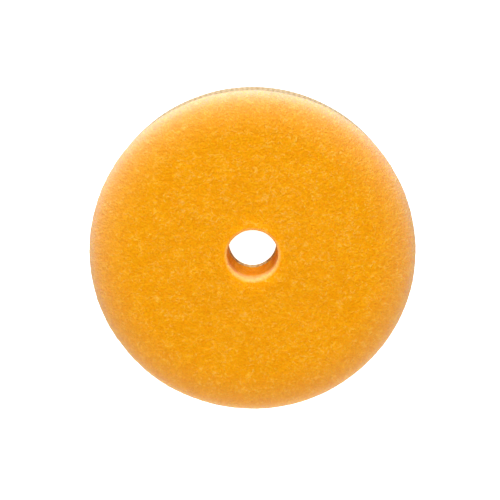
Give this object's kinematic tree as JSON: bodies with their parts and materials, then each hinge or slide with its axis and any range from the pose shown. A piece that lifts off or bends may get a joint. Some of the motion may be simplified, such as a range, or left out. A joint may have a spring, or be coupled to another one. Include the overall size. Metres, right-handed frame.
{
  "type": "foam polishing pad",
  "caption": "Round open-cell foam polishing pad with a rounded front edge, a centre hole and a hook-and-loop backing.",
  "frame": {"origin": "middle of the loop face, on the surface that the pad lies on", "axes": "+Z is the pad's axis, out of the working face; X and Y lie across it and are alike"},
  "size_m": [0.15, 0.15, 0.03],
  "materials": {
    "foam": "orange open-cell polyurethane foam, matt, with a pale bloom where it is seen edge on",
    "adhesive": "amber hot-melt film, slightly shiny",
    "cloth": "cream warp-knitted polyester ground",
    "loops": "cream brushed polyester loops"
  },
  "bodies": {
    "root": {"foam_body": "foam", "adhesive_film": "adhesive", "backing_cloth": "cloth", "loop_pile": "loops"}
  },
  "joints": []
}
